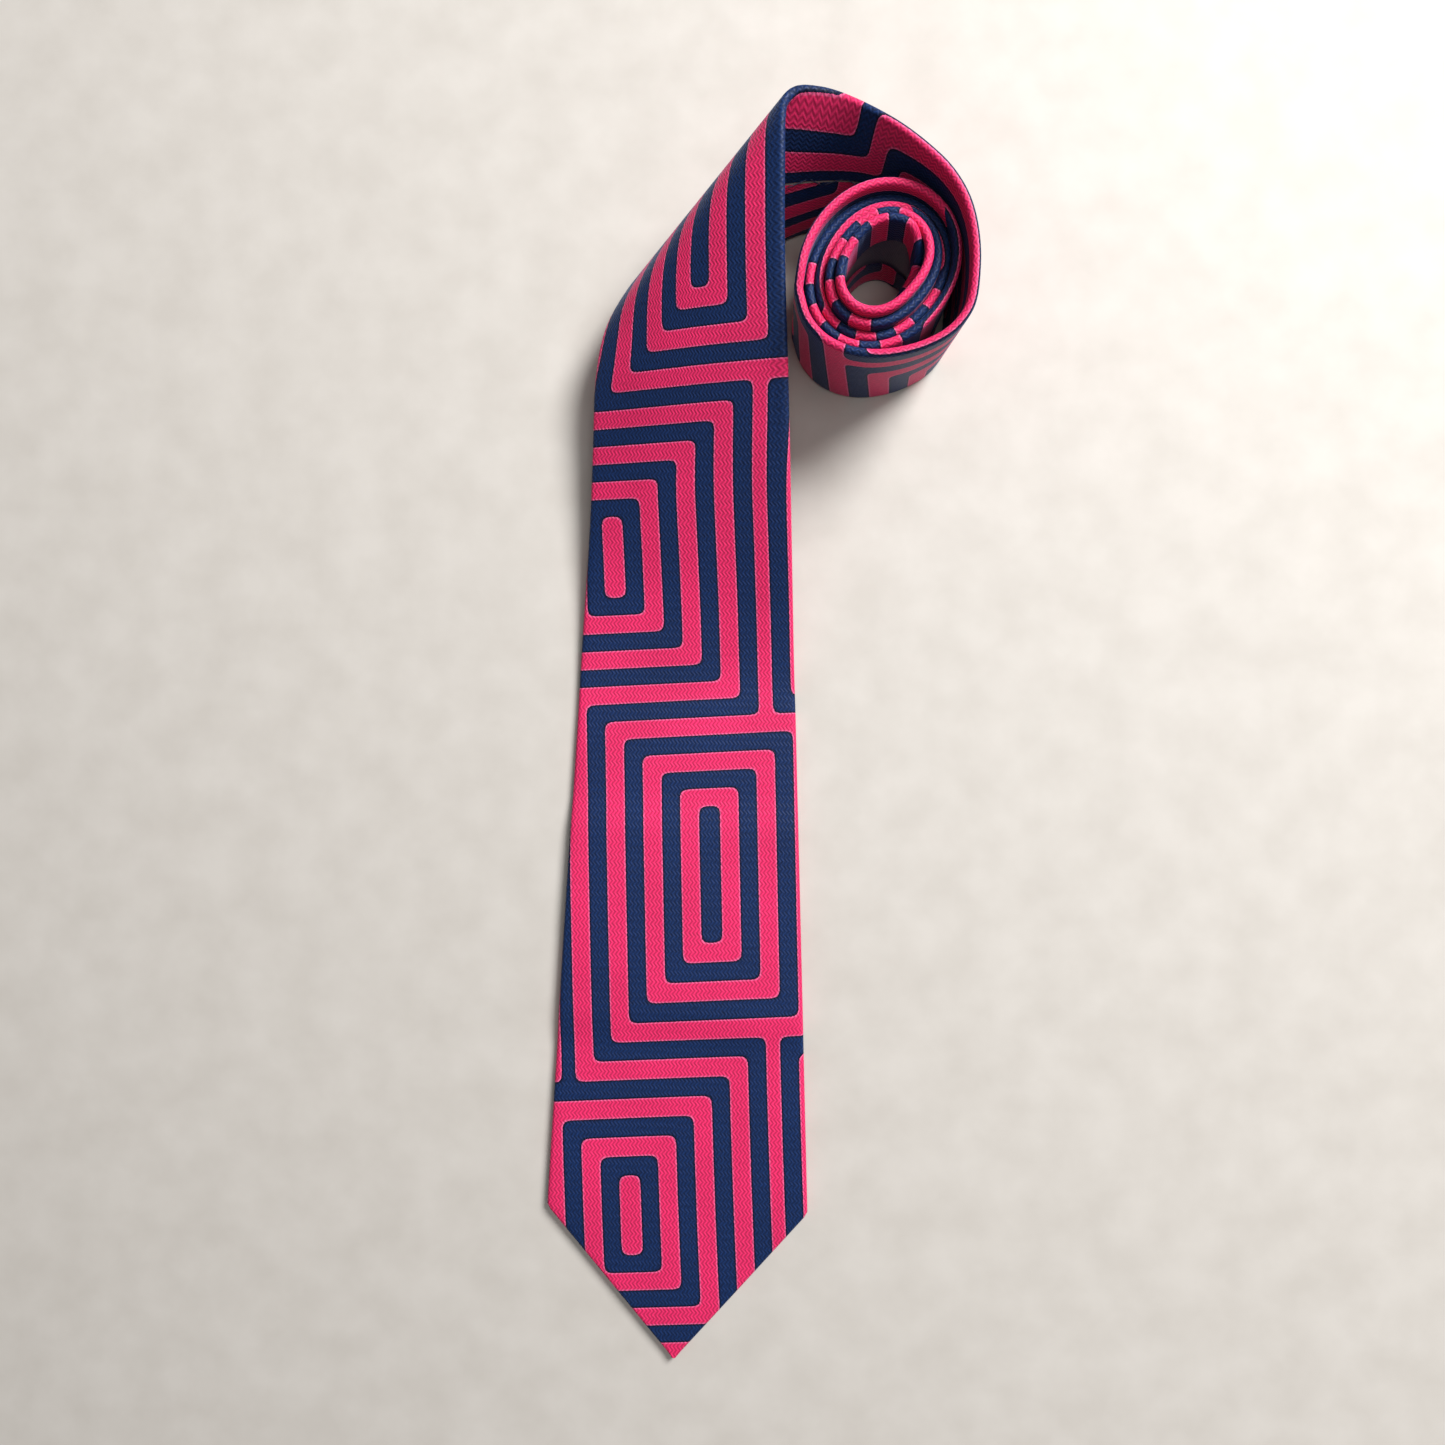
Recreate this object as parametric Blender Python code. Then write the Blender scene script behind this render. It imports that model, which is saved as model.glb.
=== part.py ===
"""A necktie put down part rolled: the wide blade lies flat, face up, and the rest is rolled up on its edge.

The tie is laid out first as a flat strip, with s along it from the blade's tip and t across it.
A carrier surface then bends that strip: flat along the blade, rising at one edge, folded under on a
diagonal, and wound into a coil that stands on edge. Every layer of the tie is a pair of grids at two
heights h from the carrier's middle, so that all the layers bend together and keep their gaps.
Lengths are in millimetres until a mesh is made, and the objects are in metres.
"""
import math

import bpy
import numpy as np

MM = 0.001

# the strip: lengths from the tip, and full widths
TIE_LENGTH = 1150.0
BLADE_WIDTH = 92.0
BLADE_POINT = 52.0          # from the tip to the widest place
BLADE_TAPER = 0.087         # width lost for each millimetre of length
NECK_WIDTH = 38.0
TAIL_START = 800.0          # where the narrow end begins to widen again
TAIL_TAPER = 0.028
TAIL_POINT = 25.0
TIP_BLUNTNESS = 4.0         # width left at the very tip

# the layers: heights from the middle of the thickness
HALF_THICKNESS = 1.4
CLOTH = 0.45
GAP = 0.3
LINING = 0.25
EDGE_ROUND = 1.1            # how far the rolled edge takes to reach full thickness
SEAM_HALF_GAP = 0.55        # half the slot between the two flaps at the back
HEM = 12.5                  # turned-in border at the pointed ends, measured across the strip
BLADE_OPENING = 125.0       # where the flaps meet behind the blade
TAIL_OPENING = 62.0         # the same, measured from the tail's tip

# where the strip is cut and pieced
HINGE = 225.0               # where the loose blade hinges on the part that is held by the roll
NECK_SEAM = 640.0
TAIL_SEAM = 905.0
LINING_JOIN = 700.0

# the things sewn behind the blade, in the shallow hump that they lift
HUMP = 1.2
HUMP_START, HUMP_END, HUMP_RAMP = 122.0, 184.0, 15.0
TACK_AT, TACK_LONG, TACK_WIDE, TACK_THICK = 127.5, 1.6, 9.0, 0.4
LABEL_AT, LABEL_LONG, LABEL_WIDE, LABEL_THICK = 146.0, 20.0, 40.0, 0.35
KEEPER_AT, KEEPER_LONG, KEEPER_WIDE, KEEPER_THICK = 172.0, 13.0, 50.0, 0.8
STITCH_WIDE = 1.5

# the coil: an egg-shaped spiral round COIL_CENTRE, wound inwards and clockwise from above
COIL_CENTRE = (61.4, 367.1)
COIL_RADIUS = 26.9
COIL_PITCH = 3.12
COIL_EGG, COIL_EGG_AT = 0.8, math.radians(110)
COIL_OVAL, COIL_OVAL_AT = 2.0, math.radians(56)
COIL_ZERO = math.radians(-36)
COIL_START = math.radians(-177)
COIL_STEP = math.radians(6)

# the rise and the fold, as matched points of the two edges: the left edge, which stays on the
# table, and the right edge, which rises and becomes the top rim of the roll
RISE = [
    ((-38.0, 238.0, 1.5), (37.7, 240.0, 1.8)),
    ((-36.8, 259.5, 2.8), (36.6, 263.6, 7.5)),
    ((-35.4, 279.0, 5.0), (34.9, 298.7, 20.3)),
    ((-34.2, 298.8, 7.5), (32.9, 337.9, 33.8)),
    ((-33.4, 319.5, 10.2), (30.9, 372.5, 44.0)),
    ((-32.5, 339.6, 12.8), (30.3, 397.7, 50.0)),
    ((-29.5, 355.3, 13.6), (30.1, 409.3, 50.9)),
    ((-23.4, 367.9, 12.3), (30.8, 416.1, 49.5)),
    ((-17.7, 375.8, 10.2), (34.4, 420.0, 48.9)),
    ((-10.3, 378.2, 7.9), (40.0, 420.6, 47.9)),
    ((2.1, 382.1, 5.3), (46.1, 419.6, 47.2)),
    ((21.9, 390.6, 2.1), (54.3, 415.5, 48.2)),
    ((40.3, 398.1, 0.3), (64.1, 408.5, 50.6)),
    ((55.3, 400.6, 0.1), (73.8, 400.1, 52.1)),
    ((67.6, 398.6, 0.3), (80.8, 392.8, 52.4)),
    ((80.4, 391.8, 0.2), (85.8, 384.2, 52.4)),
    ((87.6, 380.2, 0.1), (88.6, 373.6, 52.0)),
    ((88.6, 367.0, 0.1), (89.2, 362.5, 51.2)),
    ((86.8, 356.0, 0.1), (87.8, 352.6, 50.4)),
    ((81.6, 348.4, 0.1), (82.8, 345.8, 49.8)),
    ((74.4, 343.8, 0.1), (75.6, 341.6, 49.2)),
    ((66.5, 341.0, 0.1), (67.3, 339.2, 48.6)),
    ((58.0, 340.1, 0.1), (58.5, 338.6, 47.8)),
    ((50.2, 341.5, 0.1), (50.4, 340.2, 47.1)),
    ((43.4, 345.4, 0.1), (43.1, 344.2, 46.5)),
    ((38.4, 351.8, 0.1), (37.9, 350.8, 45.8)),
    ((35.8, 360.0, 0.1), (35.4, 359.6, 45.0)),
]


def strip_width(s):
    """Full width of the finished tie before its ends are pointed."""
    blade = BLADE_WIDTH - BLADE_TAPER * (s - BLADE_POINT)
    soft = 6.0
    body = NECK_WIDTH + soft * np.logaddexp(0.0, (blade - NECK_WIDTH) / soft)
    return body + TAIL_TAPER * np.maximum(s - TAIL_START, 0.0)


def half_width(s):
    """Half the width of the tie at s, running down to nearly nothing at both tips."""
    half = strip_width(s) / 2
    for distance, point, widest in [
        (s, BLADE_POINT, strip_width(BLADE_POINT) / 2),
        (TIE_LENGTH - s, TAIL_POINT, strip_width(TIE_LENGTH - TAIL_POINT) / 2),
    ]:
        ramp = TIP_BLUNTNESS / 2 + (widest - TIP_BLUNTNESS / 2) * np.clip(distance / point, 0, 1)
        half = np.where(distance < point, ramp, half)
    return half


def flap_edge(s):
    """Distance from the centre line to the inner edge of either back flap."""
    hem = half_width(s) - HEM
    edge = np.full_like(s, SEAM_HALF_GAP)
    for distance, point, opening, widest in [
        (s, BLADE_POINT, BLADE_OPENING, strip_width(BLADE_POINT) / 2),
        (TIE_LENGTH - s, TAIL_POINT, TAIL_OPENING, strip_width(TIE_LENGTH - TAIL_POINT) / 2),
    ]:
        start = widest - HEM
        closing = start + (SEAM_HALF_GAP - start) * (distance - point) / (opening - point)
        edge = np.where(distance < point, hem, edge)
        edge = np.where((distance >= point) & (distance < opening), closing, edge)
    return np.maximum(edge, SEAM_HALF_GAP)


def smooth_curve(points, per_span):
    """A Catmull-Rom curve through the points, sampled per_span times between each two."""
    p = np.vstack([2 * points[0] - points[1], points, 2 * points[-1] - points[-2]])
    f = np.linspace(0, 1, per_span, endpoint=False)[:, None]
    spans = []
    for a, b, c, d in zip(p[:-3], p[1:-2], p[2:-1], p[3:]):
        knots = np.cumsum([0.0] + [math.sqrt(np.linalg.norm(q - r)) for q, r in ((a, b), (b, c), (c, d))])
        start, end = knots[1], knots[2]
        into = (b - a) / (start - knots[0]) - (c - a) / (end - knots[0]) + (c - b) / (end - start)
        out = (c - b) / (end - start) - (d - b) / (knots[3] - start) + (d - c) / (knots[3] - end)
        into, out = into * (end - start), out * (end - start)
        spans.append(
            (2 * f**3 - 3 * f**2 + 1) * b
            + (f**3 - 2 * f**2 + f) * into
            + (3 * f**2 - 2 * f**3) * c
            + (f**3 - f**2) * out
        )
    return np.vstack(spans + [points[-1:]])


def coil_plan(angle):
    """Plan position of the coil's wall at a running angle, which falls as the coil winds inwards."""
    turns = (COIL_ZERO - angle) / (2 * math.pi)
    radius = (
        COIL_RADIUS
        - COIL_PITCH * turns
        + COIL_EGG * np.cos(angle - COIL_EGG_AT)
        + COIL_OVAL * np.cos(2 * (angle - COIL_OVAL_AT))
    )
    return COIL_CENTRE[0] + radius * np.cos(angle), COIL_CENTRE[1] + radius * np.sin(angle)


def lengths(points):
    """Running length along a polyline."""
    return np.concatenate([[0.0], np.cumsum(np.linalg.norm(np.diff(points, axis=0), axis=1))])


def make_carrier():
    """Left and right edge curves against the length along the middle of the strip."""
    flat = np.array([HINGE - 20, HINGE - 10, HINGE + 2])
    half = strip_width(flat) / 2
    left = [(-w, s, HALF_THICKNESS) for w, s in zip(half, flat)] + [row[0] for row in RISE]
    right = [(w, s, HALF_THICKNESS) for w, s in zip(half, flat)] + [row[1] for row in RISE]
    left = smooth_curve(np.array(left), 12)
    right = smooth_curve(np.array(right), 12)
    rise_length = flat[0] + (lengths(left)[-1] + lengths(right)[-1]) / 2

    angles = np.arange(COIL_START, COIL_START - 2 * math.pi * 6, -COIL_STEP)
    x, y = coil_plan(angles)
    along = rise_length + np.hypot(x[0] - right[-1][0], y[0] - right[-1][1])
    along = along + lengths(np.column_stack([x, y]))
    top = strip_width(along)
    coil_left = np.column_stack([x, y, 0 * x])
    coil_right = np.column_stack([x, y, top])
    left = smooth_curve(np.vstack([left[::4], coil_left]), 4)
    right = smooth_curve(np.vstack([right[::4], coil_right]), 4)
    along = flat[0] + (lengths(left) + lengths(right)) / 2
    flat_start = np.array([[-strip_width(0.0) / 2, 0.0, HALF_THICKNESS]])
    left = np.vstack([flat_start, left])
    right = np.vstack([flat_start * [-1, 1, 1], right])
    return np.concatenate([[0.0], along]), left, right


ALONG, LEFT_EDGE, RIGHT_EDGE = make_carrier()


def middle(s, t):
    """The carrier's middle surface, where t is measured across the strip."""
    left = np.stack([np.interp(s, ALONG, LEFT_EDGE[:, k]) for k in range(3)], axis=-1)
    right = np.stack([np.interp(s, ALONG, RIGHT_EDGE[:, k]) for k in range(3)], axis=-1)
    share = (t / strip_width(s))[..., None]
    point = (left + right) / 2 + share * (right - left)
    up = np.clip((s - HUMP_START + HUMP_RAMP) / HUMP_RAMP, 0, 1)
    down = np.clip((HUMP_END + HUMP_RAMP - s) / HUMP_RAMP, 0, 1)
    ramp = np.minimum(up, down)
    point[..., 2] += HUMP * ramp * ramp * (3 - 2 * ramp)
    return point


def surface(s, t, h):
    """A point of the tie at strip position s, t and at height h towards its face."""
    s, t, h = np.broadcast_arrays(np.asarray(s, float), np.asarray(t, float), np.asarray(h, float))
    step = 0.8
    along = middle(s + step, t) - middle(s - step, t)
    across = middle(s, t + step) - middle(s, t - step)
    normal = np.cross(across, along)
    normal /= np.linalg.norm(normal, axis=-1, keepdims=True)
    return middle(s, t) + h[..., None] * normal


def stations(start, end):
    """Places along the strip where every layer has an edge, close together where it bends."""
    marks = [6, 12, 20, 36, BLADE_POINT, 78, 104, 107, 111, 114.5, 118, 122, BLADE_OPENING, 131]
    marks += [150, 168, 184, 188, 191.5, 195, 199, 210]
    spacing = [(348, 12.0), (372, 4.0), (432, 2.2), (480, 4.0), (760, 4.9), (TIE_LENGTH, 4.0)]
    for stop, step in spacing:
        first = max([HINGE] + marks)
        marks += list(np.arange(first + step, stop + step / 2, step))
    inner = [m for m in marks if start + 0.8 < m < end - 0.8]
    return np.array([start] + inner + [end])


def grid_solid(outer, inner, backwards=()):
    """Vertices and faces of the closed body between two grids of the same shape.

    Every face is cut along the same diagonal of the strip, so that twisted layers stay parallel;
    backwards lists the columns that run the other way across the strip.
    """
    rows, columns = outer.shape[:2]
    vertices = np.vstack([outer.reshape(-1, 3), inner.reshape(-1, 3)])

    def index(side, row, column):
        return side * rows * columns + row * columns + column

    faces = []
    for row in range(rows - 1):
        for column in range(columns - 1):
            ring = [(row, column), (row, column + 1), (row + 1, column + 1), (row + 1, column)]
            if column in backwards:
                ring = ring[1:] + ring[:1]
            for corners in (ring[:3], [ring[0], ring[2], ring[3]]):
                faces.append([index(0, *corner) for corner in corners])
                faces.append([index(1, *corner) for corner in reversed(corners)])
    rim = [(0, c) for c in range(columns - 1)]
    rim += [(r, columns - 1) for r in range(rows - 1)]
    rim += [(rows - 1, c) for c in range(columns - 1, 0, -1)]
    rim += [(r, 0) for r in range(rows - 1, 0, -1)]
    for a, b in zip(rim, rim[1:] + rim[:1]):
        faces.append([index(0, *b), index(0, *a), index(1, *a), index(1, *b)])
    return vertices, faces


def shell(start, end):
    """Face cloth with its two flaps: one sheet that wraps round both edges and meets at the back."""
    places = stations(start, end)
    half = half_width(places)
    flap = flap_edge(places)
    edge = np.minimum(EDGE_ROUND, half / 2)
    lip = np.minimum(flap, half - edge - 0.2)

    def path(reach, height):
        zero = np.zeros_like(half)
        t = [-lip, edge - half, -reach, edge - half, zero, half - edge, reach, half - edge, lip]
        h = [-height, -height, 0.0, height, height, height, 0.0, -height, -height]
        return np.stack(t, axis=1), np.array(h)

    grids = []
    for reach, height in [(half, HALF_THICKNESS), (half - CLOTH, HALF_THICKNESS - CLOTH)]:
        t, h = path(reach, height)
        grids.append(surface(places[:, None], t, h))
    return grid_solid(*grids, backwards=(0, 1, 6, 7))


def layer(start, end, inset, low, high, width=None):
    """A flat layer inside or behind the tie, inset from its edges or of a given full width."""
    places = stations(start, end)
    half = half_width(places) - inset if width is None else np.full_like(places, width / 2)
    t = np.stack([-half, 0 * half, half], axis=1)
    low = np.broadcast_to(low, places.shape)[:, None]
    high = np.broadcast_to(high, places.shape)[:, None]
    return grid_solid(surface(places[:, None], t, high), surface(places[:, None], t, low))


def patch(at, long, centre, wide, low, high, columns=3):
    """A small sewn-on piece: its middle, its size along and across the strip, and its heights."""
    places = stations(at - long / 2, at + long / 2)[:, None]
    t = np.linspace(centre - wide / 2, centre + wide / 2, columns)[None, :]
    return grid_solid(surface(places, t, high), surface(places, t, low))


def thread_loop(at, long, wide, low, high):
    """A slack loop of thread lying in the opening behind the blade: a flat ring."""
    turn = np.linspace(0, 2 * math.pi, 24, endpoint=False)
    size = 0.35
    rings = []
    for shrink, height in [(0, low), (0, high), (size, high), (size, low)]:
        s = at + (long / 2 - shrink) * np.sin(turn)
        t = (wide / 2 - shrink) * np.cos(turn)
        rings.append(surface(s, t, height))
    vertices = np.stack(rings, axis=1).reshape(-1, 3)
    faces = []
    for i in range(24):
        for k in range(4):
            j, m = (i + 1) % 24, (k + 1) % 4
            faces.append([4 * i + k, 4 * j + k, 4 * j + m, 4 * i + m])
    return vertices, faces


def layers():
    """Every piece of the tie, by name."""
    inner = HALF_THICKNESS - CLOTH - GAP
    facing = -inner + LINING + GAP
    behind = -HALF_THICKNESS - GAP
    tip_lining = BLADE_OPENING - 5
    tail_lining = TIE_LENGTH - TAIL_OPENING + 5
    seam_low, seam_high = -HALF_THICKNESS + 0.1, -HALF_THICKNESS + CLOTH
    seam_wide = 2 * (SEAM_HALF_GAP - GAP)
    half_slot = GAP / 2

    def interlining(start, end):
        return layer(start, end, CLOTH + GAP + 0.4, -inner, inner)

    pieces = {
        "shell_blade": shell(0.0, HINGE - half_slot),
        "shell_rise": shell(HINGE + half_slot, NECK_SEAM - half_slot),
        "shell_neck": shell(NECK_SEAM + half_slot, TAIL_SEAM - half_slot),
        "shell_tail": shell(TAIL_SEAM + half_slot, TIE_LENGTH),
        "interlining_blade": layered_interlining(5.0, tip_lining + GAP, HINGE - half_slot, inner, facing),
        "interlining_rise": interlining(HINGE + half_slot, LINING_JOIN - half_slot),
        "interlining_tail": layered_interlining(
            TIE_LENGTH - 5.0, tail_lining - GAP, LINING_JOIN + half_slot, inner, facing
        ),
        "tipping_blade": layer(6.0, tip_lining, CLOTH + GAP + 0.5, -inner, -inner + LINING),
        "tipping_tail": layer(tail_lining, TIE_LENGTH - 6.0, CLOTH + GAP + 0.5, -inner, -inner + LINING),
        "slip_stitch_blade": layer(
            TACK_AT + TACK_LONG, HINGE - half_slot, 0.0, seam_low, seam_high, seam_wide
        ),
        "slip_stitch_roll": layer(
            HINGE + half_slot, TIE_LENGTH - TAIL_OPENING - 4, 0.0, seam_low, seam_high, seam_wide
        ),
        "slip_stitch_loop": thread_loop(116.0, 12.0, 4.0, -inner - GAP - 0.35, -inner - GAP),
        "bar_tack_blade": patch(TACK_AT, TACK_LONG, 0, TACK_WIDE, behind - TACK_THICK, behind),
        "bar_tack_tail": patch(
            TIE_LENGTH - TAIL_OPENING - 2.5, TACK_LONG, 0, TACK_WIDE * 0.7, behind - TACK_THICK, behind
        ),
        "care_label": patch(LABEL_AT, LABEL_LONG, 0, LABEL_WIDE, behind - LABEL_THICK, behind),
        "keeper_loop": patch(KEEPER_AT, KEEPER_LONG, 0, KEEPER_WIDE, behind - KEEPER_THICK, behind, 7),
    }
    for side, name in [(-1, "left"), (1, "right")]:
        pieces["care_label_stitch_" + name] = end_stitch(
            LABEL_AT, LABEL_LONG - 4, side, LABEL_WIDE, behind, LABEL_THICK
        )
        pieces["keeper_tack_" + name] = end_stitch(
            KEEPER_AT, KEEPER_LONG, side, KEEPER_WIDE, behind, KEEPER_THICK - 0.1
        )
    return pieces


def layered_interlining(tip, change, end, inner, facing):
    """Interlining that is thinner beside the tip's lining and full thickness past it."""
    low_end, high_end = min(tip, end), max(tip, end)
    places = stations(low_end, high_end)
    places = np.unique(np.concatenate([places, [change, change + math.copysign(2.0, end - tip)]]))
    beyond = np.clip((places - change) * math.copysign(1.0, end - tip) / 2.0, 0, 1)
    low = facing + (-inner - facing) * beyond
    half = half_width(places) - (CLOTH + GAP + 0.4)
    t = np.stack([-half, 0 * half, half], axis=1)
    return grid_solid(
        surface(places[:, None], t, inner), surface(places[:, None], t, low[:, None])
    )


def end_stitch(at, long, side, wide, behind, thick):
    """Stitching past one end of a piece that lies across the back."""
    centre = side * (wide / 2 + GAP + STITCH_WIDE / 2)
    return patch(at, long, centre, STITCH_WIDE, behind - thick, behind, 2)


COLOURS = {
    "shell": ((0.42, 0.02, 0.07), 0.62),
    "interlining": ((0.72, 0.70, 0.64), 0.95),
    "tipping": ((0.02, 0.03, 0.09), 0.45),
    "slip": ((0.05, 0.05, 0.12), 0.8),
    "bar": ((0.05, 0.05, 0.12), 0.8),
    "care": ((0.85, 0.84, 0.80), 0.7),
    "keeper": ((0.03, 0.05, 0.14), 0.6),
}


def material_for(name):
    """A Principled material of the piece's own."""
    colour, roughness = COLOURS[name.split("_")[0]]
    if "stitch" in name or "tack" in name:
        colour = COLOURS["slip"][0]
    material = bpy.data.materials.new(name)
    material.use_nodes = True
    shader = material.node_tree.nodes["Principled BSDF"]
    shader.inputs["Base Color"].default_value = (*colour, 1.0)
    shader.inputs["Roughness"].default_value = roughness
    shader.inputs["Metallic"].default_value = 0.0
    return material


def faces_out(vertices, faces):
    """The faces turned so that the body's volume is positive."""
    volume = 0.0
    for face in faces:
        a = vertices[face[0]]
        for b, c in zip(face[1:-1], face[2:]):
            volume += np.dot(a, np.cross(vertices[b], vertices[c]))
    return faces if volume > 0 else [face[::-1] for face in faces]


def build():
    """Make one object for each piece, with the origin under the middle of the whole tie."""
    for old in list(bpy.data.objects):
        bpy.data.objects.remove(old, do_unlink=True)
    pieces = layers()
    everything = np.vstack([points for points, _ in pieces.values()])
    low, high = everything.min(axis=0), everything.max(axis=0)
    origin = np.array([(low[0] + high[0]) / 2, (low[1] + high[1]) / 2, low[2]])
    hinge = (np.array([0.0, HINGE, 2 * HALF_THICKNESS]) - origin) * MM
    blade = bpy.data.objects.new("blade_pivot", None)
    blade.location = hinge
    bpy.context.scene.collection.objects.link(blade)
    on_blade = [n for n in pieces if "blade" in n or n.startswith(("care", "keeper"))]
    on_blade.append("slip_stitch_loop")
    for name, (points, faces) in pieces.items():
        place = hinge if name in on_blade else np.zeros(3)
        mesh = bpy.data.meshes.new(name)
        mesh.from_pydata(((points - origin) * MM - place).tolist(), [], faces_out(points, faces))
        mesh.materials.append(material_for(name))
        mesh.shade_smooth()
        mesh.set_sharp_from_angle(angle=math.radians(40))
        piece = bpy.data.objects.new(name, mesh)
        if name in on_blade:
            piece.parent = blade
        bpy.context.scene.collection.objects.link(piece)


build()
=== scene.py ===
"""The looks of a necktie put down part rolled: woven cloth, lining, label, keeper and stitching.

The tie is first a flat strip, s millimetres along it from the blade's tip and t across it. A carrier
surface bends that strip as in the CAD model: flat blade, raised side, fold, and a coil on edge. Each
layer lies at its own height h from the carrier's middle. Lengths here are in millimetres until put()
makes an object, and the woven figure is drawn in the cloth's own coordinates, so it runs round edges.
"""
import math

import bpy
import numpy as np
from mathutils import Matrix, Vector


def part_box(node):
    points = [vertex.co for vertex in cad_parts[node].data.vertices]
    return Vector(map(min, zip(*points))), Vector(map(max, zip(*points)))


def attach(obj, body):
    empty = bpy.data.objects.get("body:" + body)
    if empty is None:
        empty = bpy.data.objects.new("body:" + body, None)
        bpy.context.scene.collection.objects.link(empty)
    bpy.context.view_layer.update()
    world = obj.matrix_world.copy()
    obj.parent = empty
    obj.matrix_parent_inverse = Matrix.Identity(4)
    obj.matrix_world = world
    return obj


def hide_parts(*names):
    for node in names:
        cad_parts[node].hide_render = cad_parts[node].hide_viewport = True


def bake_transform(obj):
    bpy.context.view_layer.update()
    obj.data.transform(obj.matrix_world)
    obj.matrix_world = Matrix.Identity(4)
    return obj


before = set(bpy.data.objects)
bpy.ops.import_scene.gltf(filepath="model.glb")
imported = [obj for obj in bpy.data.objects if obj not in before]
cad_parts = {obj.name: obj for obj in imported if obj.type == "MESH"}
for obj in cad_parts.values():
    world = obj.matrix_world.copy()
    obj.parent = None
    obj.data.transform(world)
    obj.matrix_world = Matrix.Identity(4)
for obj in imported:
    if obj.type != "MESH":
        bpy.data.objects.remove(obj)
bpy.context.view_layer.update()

MM = 0.001

# the strip, as in the CAD model but for sharper tips, rounder edges and a closer back seam
TIE_LENGTH = 1150.0
BLADE_WIDTH = 92.0
BLADE_POINT = 52.0
BLADE_TAPER = 0.087
NECK_WIDTH = 38.0
TAIL_START = 800.0
TAIL_TAPER = 0.028
TAIL_POINT = 25.0
TIP_BLUNTNESS = 1.6
HALF_THICKNESS = 1.4
CLOTH = 0.45
GAP = 0.3
LINING = 0.25
EDGE_ROUND = 1.3
SEAM_HALF_GAP = 0.45
HEM = 12.5
BLADE_OPENING = 125.0
TAIL_OPENING = 62.0
HINGE = 225.0
NECK_SEAM = 640.0
TAIL_SEAM = 905.0
LINING_JOIN = 700.0
HUMP = 1.2
HUMP_START, HUMP_END, HUMP_RAMP = 122.0, 184.0, 15.0

# the loose blade's waves, and how far they take to fade in from the tip and out before the hinge
WAVE_HEIGHT = 0.16
WAVE_FADE = 60.0

# the sewn-on pieces: their places along the tie, and their lengths and widths there
LABEL_AT, LABEL_LONG, LABEL_WIDE, LABEL_THICK = 146.0, 20.0, 40.0, 0.35
KEEPER_AT, KEEPER_LONG, KEEPER_WIDE, KEEPER_THICK = 172.0, 13.0, 50.0, 0.8
KEEPER_CLOTH = 0.3
TACK_AT, TACK_LONG, TACK_WIDE = 127.5, 1.6, 9.0
TAIL_TACK_AT, TAIL_TACK_WIDE = TIE_LENGTH - TAIL_OPENING - 2.5, 6.3
LOOP_AT, LOOP_LONG, LOOP_WIDE, LOOP_HEIGHT = 116.0, 12.0, 4.0, -1.15
THREAD = 0.16               # radius of the sewing thread
STITCH_PITCH = 7.0
STITCH_REACH = 1.3

# the cut of the cloth
SLANT_FADE = 90.0           # how far from a bias seam the rows of the mesh still slant
SEAM_DIP, SEAM_DIP_LONG = 0.2, 0.7     # how far the face sinks at a seam, and over what length
LIP_TUCK = 0.12             # how much thinner the cloth is at its free edge
SEAM_SLOT = 0.06            # half the gap between two pieced lengths
NECK_CUT, TAIL_CUT = (-48, 60), (-54, 25)   # where those lengths lie in the woven cloth
TIP_INSET = 5.0             # from the tip to the interlining

# how finely the cloth is cut up
ROLL_STEPS, FLAP_STEPS, FRONT_STEPS = 9, 10, 34
LAYER_STEPS = 25
ROLL_LENGTH = math.pi * (EDGE_ROUND + HALF_THICKNESS) / 2
COARSE, MEDIUM, FINE, COILED = 2.0, 2.2, 1.0, 1.5

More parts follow.
